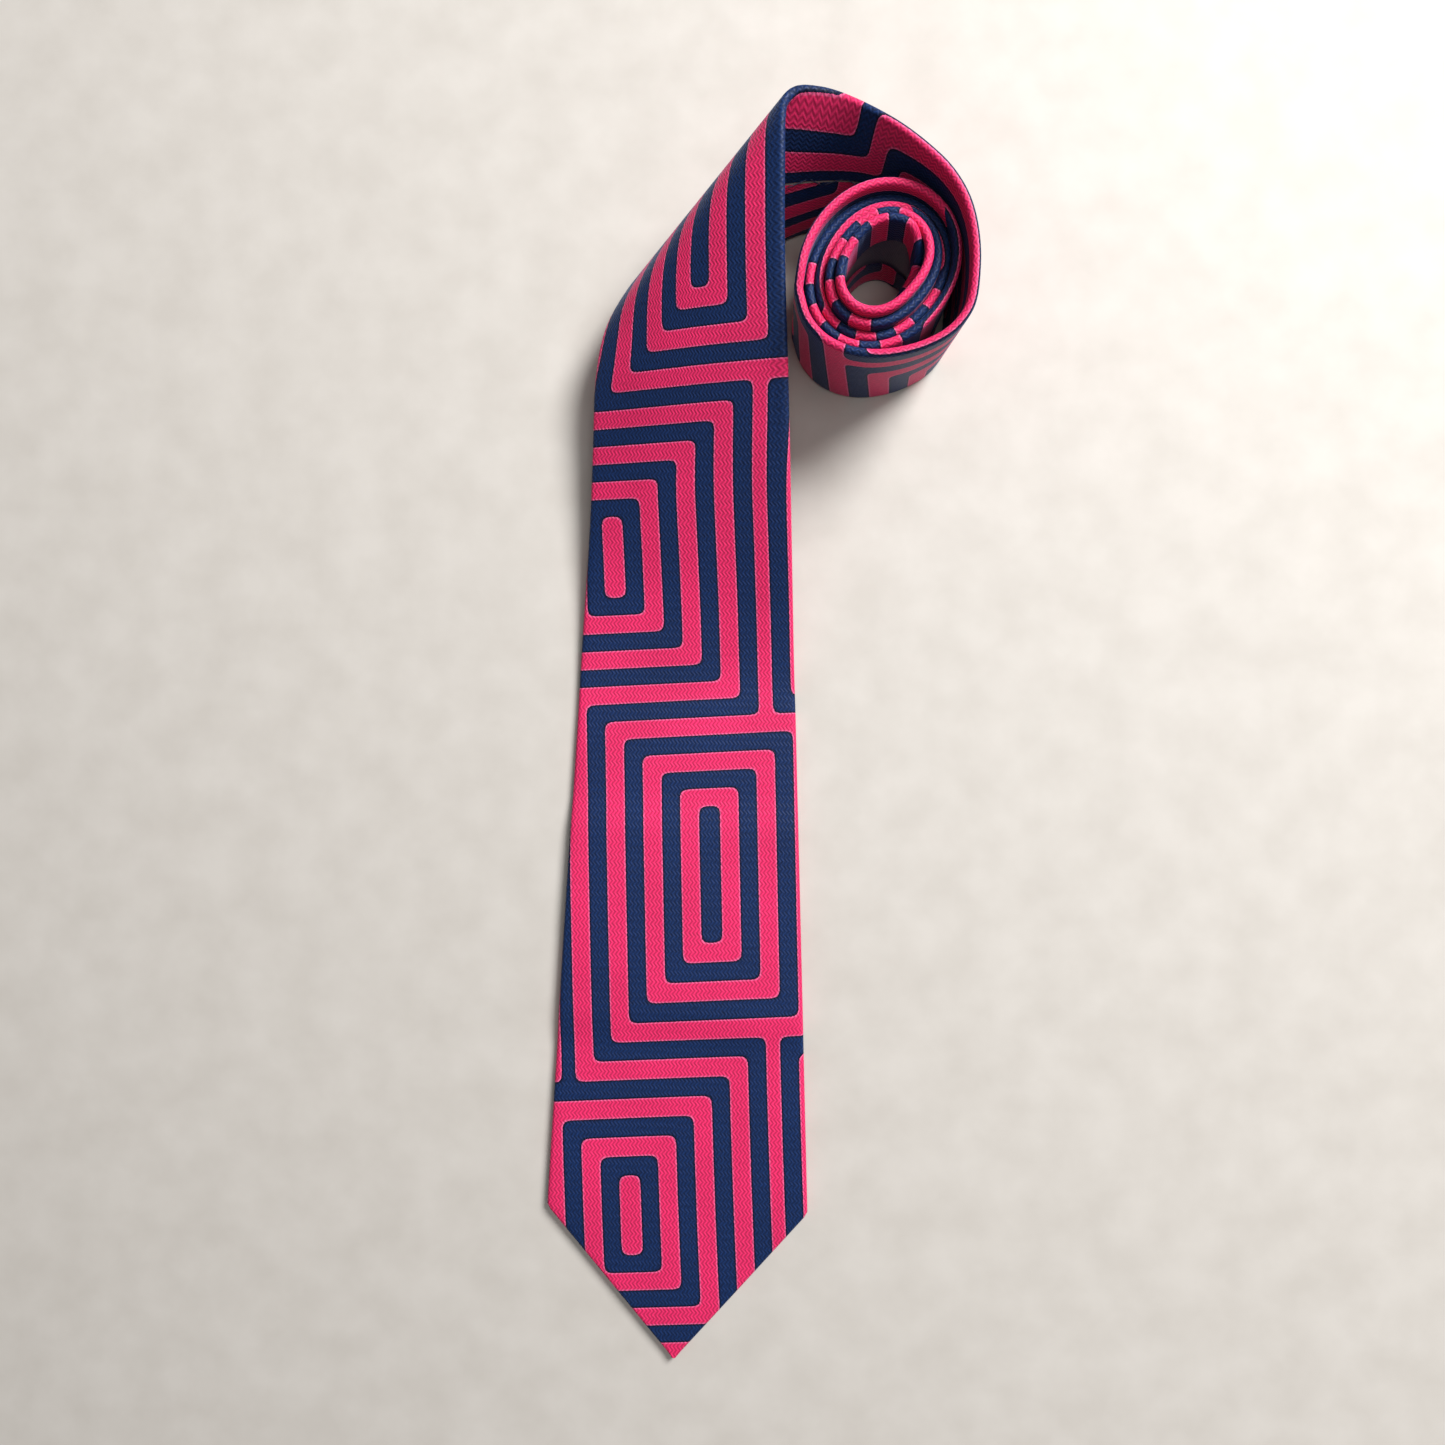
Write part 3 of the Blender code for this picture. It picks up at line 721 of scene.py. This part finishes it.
def figure_level(n, x, y):
    """Stripe count out from the nearest navy bar: whole numbers are the edges of the stripes."""
    tip = n.math("MULTIPLY", n.math("EXPONENT", n.math("DIVIDE", y, -TIP_LEAN_OVER)), TIP_LEAN)
    u = n.math("SUBTRACT", n.math("MULTIPLY_ADD", y, LEAN, x), tip)
    v = n.math("SUBTRACT", y, n.math("MULTIPLY", x, TILT))
    v = n.math("ADD", v, n.ramp(v, DRAWN_FROM, DRAWN_TO, 0.0, DRAWN_BY))

    beside = []
    for core in (NAVY_CORE_X, RED_CORE_X):
        distance = n.math("ABSOLUTE", folded(n, n.math("SUBTRACT", u, core), FIGURE_REPEAT_X))
        beside.append(n.math("DIVIDE", n.math("SUBTRACT", distance, CORE_HALF), BAND))
    beside_navy, beside_red = beside

    centre = (NAVY_CORE_LOW + NAVY_CORE_HIGH) / 2
    half = (NAVY_CORE_HIGH - NAVY_CORE_LOW) / 2
    w = folded(n, n.math("SUBTRACT", v, centre), FIGURE_REPEAT_Y)
    below = n.math("DIVIDE", n.math("SUBTRACT", n.math("MULTIPLY", w, -1.0), half),
                   (NAVY_CORE_LOW - RED_CORE_TOP) / STRIPES_BETWEEN)
    above = n.math("DIVIDE", n.math("SUBTRACT", w, half),
                   (RED_CORE_FOOT - NAVY_CORE_HIGH) / STRIPES_BETWEEN)
    past = n.math("MAXIMUM", below, above)

    ring = n.math("SMOOTH_MAX", past, beside_navy, CORNER_SOFT)
    return n.math("SMOOTH_MIN", ring, n.math("SUBTRACT", float(STRIPES_BETWEEN), beside_red), CORNER_SOFT)


def herringbone(n, x, y):
    """Weave height from 0 to 1, also painted into the colour as shade in the grooves: fine ribs that step
    to and fro along the cloth.
    """
    zigzag = n.math("PINGPONG", y, ZIGZAG_LONG)
    slant = n.math("MULTIPLY_ADD", zigzag, ZIGZAG_SLOPE, x)
    wander = n.noise(n.vector(x, y), 0.35, 1.0)
    slant = n.math("MULTIPLY_ADD", wander, 0.35, slant)
    rib = n.math("SINE", n.math("MULTIPLY", slant, 2 * math.pi / RIB))
    return n.math("MULTIPLY_ADD", rib, 0.5, 0.5)


def jacquard():
    """Crimson and navy jacquard: the figure, its woven outlines, the herringbone with painted shade in its
    grooves, and the gloss.
    """
    n = Nodes("jacquard_silk")
    x, y, side = n.cloth()
    ragged = n.noise(n.vector(n.math("MULTIPLY", x, 2.2), n.math("MULTIPLY", y, 1.1)), 1.0, 1.0)
    jitter = n.math("MULTIPLY", n.math("SUBTRACT", ragged, 0.5), 0.05)
    level = n.math("ADD", figure_level(n, x, y), jitter)
    parity = n.math("MODULO", n.math("ADD", n.math("FLOOR", level), 40.0), 2.0)
    fraction = n.math("FRACT", n.math("ADD", level, 40.0))
    from_edge = n.math("MINIMUM", fraction, n.math("SUBTRACT", 1.0, fraction))

    rib = herringbone(n, x, y)
    fleck = n.noise(n.vector(n.math("MULTIPLY", x, 1.9), n.math("MULTIPLY", y, 0.7)), 1.0, 3.0, 0.65)
    fleck_light = n.ramp(fleck, 0.3, 0.72)
    broad = n.noise(n.vector(x, y), 0.035, 2.0)

    red = n.mix(fleck_light, tuple(0.78 * c for c in CRIMSON), tuple(min(1.16 * c, 1.0) for c in CRIMSON))
    blue = n.mix(fleck_light, tuple(0.62 * c for c in NAVY), tuple(1.5 * c for c in NAVY))
    red = n.mix(n.ramp(from_edge, 0.035, 0.085, 0.55, 0.0), red, CRIMSON_EDGE)
    blue = n.mix(n.ramp(from_edge, 0.05, 0.12, 0.85, 0.0), blue, NAVY_EDGE)
    colour = n.mix(parity, red, blue)
    # the herringbone's ribs darken the colour in their grooves as painted shade and lighten it on their
    # crowns as painted highlight; the broad noise is the cloth's uneven tone
    painted_shade_and_tone = n.math("MULTIPLY", n.ramp(rib, 0.0, 1.0, 0.66, 1.20), n.ramp(broad, 0.3, 0.7, 0.92, 1.08))
    shade_and_tone_grey = n.add("ShaderNodeCombineColor", {0: painted_shade_and_tone, 1: painted_shade_and_tone, 2: painted_shade_and_tone}).outputs[0]
    colour = n.mix(1.0, colour, shade_and_tone_grey, "MULTIPLY")
    wrong_side = n.mix(fleck_light, WRONG_SIDE_DARK, WRONG_SIDE_LIGHT)
    colour = n.mix(n.ramp(side, 0.4, 0.6), colour, wrong_side)

    outline = n.ramp(from_edge, 0.0, 0.09, 0.0, 1.0, smooth=True)
    height = n.math("MULTIPLY_ADD", fleck, 0.5, n.math("MULTIPLY_ADD", outline, 0.45, rib))
    roughness = n.ramp(n.math("MULTIPLY_ADD", fleck, 0.5, rib), 0.2, 1.3, 0.62, 0.44)
    return n.finish(
        colour, roughness, height, 0.09,
        Specular_IOR_Level=0.18, Sheen_Weight=0.12, Sheen_Roughness=0.4,
        Sheen_Tint=(0.45, 0.6, 1.0, 1.0),
    )


def plain_weave(name, dark, light, thread_wide, roughness, depth, sheen=0.1):
    """A plain woven cloth in one colour, over and under, with uneven threads."""
    n = Nodes(name)
    x, y, _ = n.cloth()
    across = n.math("SINE", n.math("MULTIPLY", x, math.pi / thread_wide))
    along = n.math("SINE", n.math("MULTIPLY", y, math.pi / thread_wide))
    crossing = n.math("MULTIPLY_ADD", n.math("MULTIPLY", across, along), 0.5, 0.5)
    uneven = n.noise(n.vector(x, y), 1.3, 3.0, 0.6)
    broad = n.noise(n.vector(x, y), 0.08, 2.0)
    tone = n.math("MULTIPLY_ADD", uneven, 0.6, n.math("MULTIPLY", crossing, 0.3))
    tone = n.math("MULTIPLY_ADD", broad, 0.3, tone)
    colour = n.mix(n.ramp(tone, 0.3, 0.9), dark, light)
    height = n.math("MULTIPLY_ADD", uneven, 0.4, crossing)
    rough = n.ramp(uneven, 0.3, 0.7, roughness - 0.06, roughness + 0.06)
    return n.finish(colour, rough, height, depth, Sheen_Weight=sheen, Specular_IOR_Level=0.35)


def satin():
    """Lining satin: long floats across the piece that make a soft, directional gloss."""
    n = Nodes("lining_satin")
    x, y, _ = n.cloth()
    floats = n.noise(n.vector(n.math("MULTIPLY", x, 0.6), n.math("MULTIPLY", y, 4.0)), 1.0, 3.0, 0.6)
    twill = n.math("SINE", n.math("MULTIPLY", n.math("ADD", x, n.math("MULTIPLY", y, 2.0)), 3.4))
    colour = n.mix(n.ramp(floats, 0.3, 0.7), (0.010, 0.014, 0.045), (0.030, 0.042, 0.110))
    height = n.math("MULTIPLY_ADD", twill, 0.3, floats)
    return n.finish(colour, n.ramp(floats, 0.3, 0.7, 0.26, 0.4), height, 0.05,
                    Specular_IOR_Level=0.55, Sheen_Weight=0.1)


def wool():
    """Brushed wool interlining: matt, with short fibres and a few darker hairs."""
    n = Nodes("wool_interlining")
    x, y, _ = n.cloth()
    fibres = n.noise(n.vector(n.math("MULTIPLY", x, 2.6), y), 1.0, 5.0, 0.7)
    hairs = n.noise(n.vector(x, n.math("MULTIPLY", y, 3.0)), 0.9, 4.0, 0.7)
    colour = n.mix(n.ramp(fibres, 0.3, 0.75), (0.50, 0.46, 0.39), (0.80, 0.77, 0.70))
    colour = n.mix(n.ramp(hairs, 0.62, 0.72, 0.0, 0.5), colour, (0.30, 0.27, 0.23))
    return n.finish(colour, 0.95, fibres, 0.25, Sheen_Weight=0.3, Specular_IOR_Level=0.2)


def twisted_thread():
    """Navy silk thread, with the twist of its plies."""
    n = Nodes("sewing_thread")
    place_at = n.add("ShaderNodeTexCoord").outputs["Object"]
    parts = n.add("ShaderNodeSeparateXYZ", {0: place_at}).outputs
    diagonal = n.math("ADD", n.math("ADD", parts[0], parts[1]), parts[2])
    ply = n.math("SINE", n.math("MULTIPLY", diagonal, 2 * math.pi / (0.35 * MM)))
    fibre = n.noise(place_at, 2500.0, 2.0)
    colour = n.mix(n.ramp(ply, -1.0, 1.0), (0.012, 0.016, 0.045), (0.045, 0.055, 0.130))
    height = n.math("MULTIPLY_ADD", fibre, 0.4, n.math("MULTIPLY", ply, 0.5))
    return n.finish(colour, n.ramp(fibre, 0.3, 0.7, 0.42, 0.58), height, 0.05,
                    Sheen_Weight=0.15, Specular_IOR_Level=0.4)


# ---------------------------------------------------------------- the pieces


def shell_pieces(silk):
    """The face cloth, cut in three and pieced on the bias."""
    for name, start, end, cut, body, nodes in [
        ("face_cloth_blade", 0.0, NECK_SEAM - SEAM_SLOT, (0, 0), "both", ("shell_blade", "shell_rise")),
        ("face_cloth_neck", NECK_SEAM + SEAM_SLOT, TAIL_SEAM - SEAM_SLOT, NECK_CUT, "roll",
         ("shell_neck",)),
        ("face_cloth_tail", TAIL_SEAM + SEAM_SLOT, TIE_LENGTH, TAIL_CUT, "roll", ("shell_tail",)),
    ]:
        mesh, cloth = face_cloth(start, end, cut)
        piece = put(name, mesh, silk, cloth)
        follow(piece, body)
        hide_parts(*nodes)


def inner_pieces(felt, lining):
    """Interlining and the linings of the two pointed ends."""
    inner = HALF_THICKNESS - CLOTH - GAP
    facing = -inner + LINING + GAP
    tip_end = BLADE_OPENING - 5
    tail_end = TIE_LENGTH - TAIL_OPENING + 5
    inset = CLOTH + GAP + 0.5
    join = LINING_JOIN - GAP / 2
    front = beside_tipping(TIP_INSET, join, 0.0, tip_end + GAP, inner, facing)
    last = TIE_LENGTH - TIP_INSET
    back = beside_tipping(join + GAP, last, TIE_LENGTH, tail_end - GAP, inner, facing)
    rows = [
        ("interlining_front", front, felt, "wool_interlining", "both",
         ("interlining_blade", "interlining_rise")),
        ("interlining_back", back, felt, "wool_interlining", "roll", ("interlining_tail",)),
        ("tipping_of_blade", layer(6.0, tip_end, inset, -inner, -inner + LINING),
         lining, "lining_satin", "blade", ("tipping_blade",)),
        ("tipping_of_tail", layer(tail_end, TIE_LENGTH - 6.0, inset, -inner, -inner + LINING),
         lining, "lining_satin", "roll", ("tipping_tail",)),
    ]
    for name, (mesh, cloth), material, slot, body, nodes in rows:
        piece = put(name, mesh, material, cloth)
        follow(piece, body)
        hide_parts(*nodes)


def back_pieces(tape, yarn, keeper_cloth):
    """What is sewn on behind the blade and in the tail's opening."""
    behind = -HALF_THICKNESS - GAP
    label, cloth = label_sheet(LABEL_AT, LABEL_LONG, LABEL_WIDE, behind, LABEL_THICK)
    piece = put("care_label_blank", label, tape, cloth)
    follow(piece, "blade")
    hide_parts("care_label")

    keeper, cloth = keeper_tube(KEEPER_AT, KEEPER_LONG, KEEPER_WIDE, behind, KEEPER_THICK)
    piece = put("keeper_band", keeper, keeper_cloth, cloth)
    follow(piece, "blade")
    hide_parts("keeper_loop")

    rows = [
        ("slip_stitches", slip_stitches(TACK_AT + 2.0, TAIL_TACK_AT - 2.5), "both",
         ("slip_stitch_blade", "slip_stitch_roll")),
        ("slack_loop", thread_loop(LOOP_AT, LOOP_LONG, LOOP_WIDE, LOOP_HEIGHT), "blade",
         ("slip_stitch_loop",)),
        ("blade_bar_tack", bar_tack(TACK_AT, TACK_WIDE, TACK_LONG, behind), "blade",
         ("bar_tack_blade",)),
        ("tail_bar_tack", bar_tack(TAIL_TACK_AT, TAIL_TACK_WIDE, TACK_LONG, behind), "roll",
         ("bar_tack_tail",)),
    ]
    for side, name in ((-1, "left"), (1, "right")):
        at_label = end_stitches(LABEL_AT, LABEL_LONG - 4.0, side, LABEL_WIDE, behind - 0.25)
        at_keeper = end_stitches(KEEPER_AT, KEEPER_LONG, side, KEEPER_WIDE, behind - 0.6)
        rows.append(("label_stitches_" + name, at_label, "blade", ("care_label_stitch_" + name,)))
        rows.append(("keeper_stitches_" + name, at_keeper, "blade", ("keeper_tack_" + name,)))
    for name, mesh, body, nodes in rows:
        piece = put(name, mesh, yarn)
        follow(piece, body)
        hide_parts(*nodes)


# ---------------------------------------------------------------- the set


def make_floor():
    """A plain pale floor."""
    corners = [(-1, -1), (1, -1), (1, 1), (-1, 1)]
    mesh = bpy.data.meshes.new("floor")
    mesh.from_pydata([(FLOOR_HALF * x, FLOOR_HALF * y, FLOOR_AT) for x, y in corners], [], [(0, 1, 2, 3)])
    n = Nodes("pale_floor")
    where = n.add("ShaderNodeTexCoord").outputs["Object"]
    grain = n.noise(where, 60.0, 3.0)
    colour = n.mix(n.ramp(grain, 0.3, 0.7), (0.52, 0.48, 0.43), (0.57, 0.53, 0.48))
    mesh.materials.append(n.finish(colour, 0.7, Specular_IOR_Level=0.3))
    floor = bpy.data.objects.new("floor", mesh)
    bpy.context.scene.collection.objects.link(floor)


def add_light(name, location, target, size, watts, colour):
    """A round soft light at one place that looks at another."""
    light = bpy.data.lights.new(name, "AREA")
    light.shape = "DISK"
    light.size = size
    light.energy = watts
    light.color = colour
    lamp = bpy.data.objects.new(name, light)
    lamp.location = location
    away = np.asarray(location, float) - np.asarray(target, float)
    away /= np.linalg.norm(away)
    tilt = math.acos(away[2])
    turn = math.atan2(away[1], away[0]) + math.pi / 2
    lamp.rotation_euler = (tilt, 0.0, turn)
    bpy.context.scene.collection.objects.link(lamp)


def make_lights():
    """A soft window beyond the roll, a weak light overhead, and a weaker fill all round."""
    add_light("window", (0.80, 0.90, 1.00), (0.0, 0.05, 0.0), 0.7, 44.0, (0.97, 0.98, 1.0))
    add_light("ceiling", (0.3, -0.1, 1.6), (0.0, 0.0, 0.0), 1.0, 6.0, (1.0, 1.0, 1.0))
    world = bpy.data.worlds.new("room")
    world.use_nodes = True
    world.node_tree.nodes["Background"].inputs["Color"].default_value = (0.92, 0.95, 1.0, 1.0)
    world.node_tree.nodes["Background"].inputs["Strength"].default_value = 0.15
    bpy.context.scene.world = world


def make_camera():
    """Straight above the tie, as one holds a telephone over a table."""
    data = bpy.data.cameras.new("camera")
    data.sensor_width = 36.0
    data.lens = CAMERA_LENS
    data.clip_start = 0.01
    camera = bpy.data.objects.new("camera", data)
    camera.location = place(CAMERA_IN_STRIP)
    camera.rotation_mode = "QUATERNION"
    matrix = Matrix.Rotation(CAMERA_TURN, 3, "Z") @ Matrix.Rotation(CAMERA_TIP, 3, "Y")
    camera.rotation_quaternion = matrix.to_quaternion()
    bpy.context.scene.collection.objects.link(camera)
    bpy.context.scene.camera = camera


make_camera()
make_floor()
make_lights()
shell_pieces(jacquard())
inner_pieces(wool(), satin())
back_pieces(
    plain_weave("label_tape", (0.62, 0.60, 0.54), (0.86, 0.85, 0.80), 0.45, 0.6, 0.06),
    twisted_thread(),
    plain_weave("keeper_cloth", (0.010, 0.018, 0.060), (0.040, 0.060, 0.150), 0.55, 0.5, 0.08, 0.25),
)
bpy.context.scene.view_settings.view_transform = "Standard"
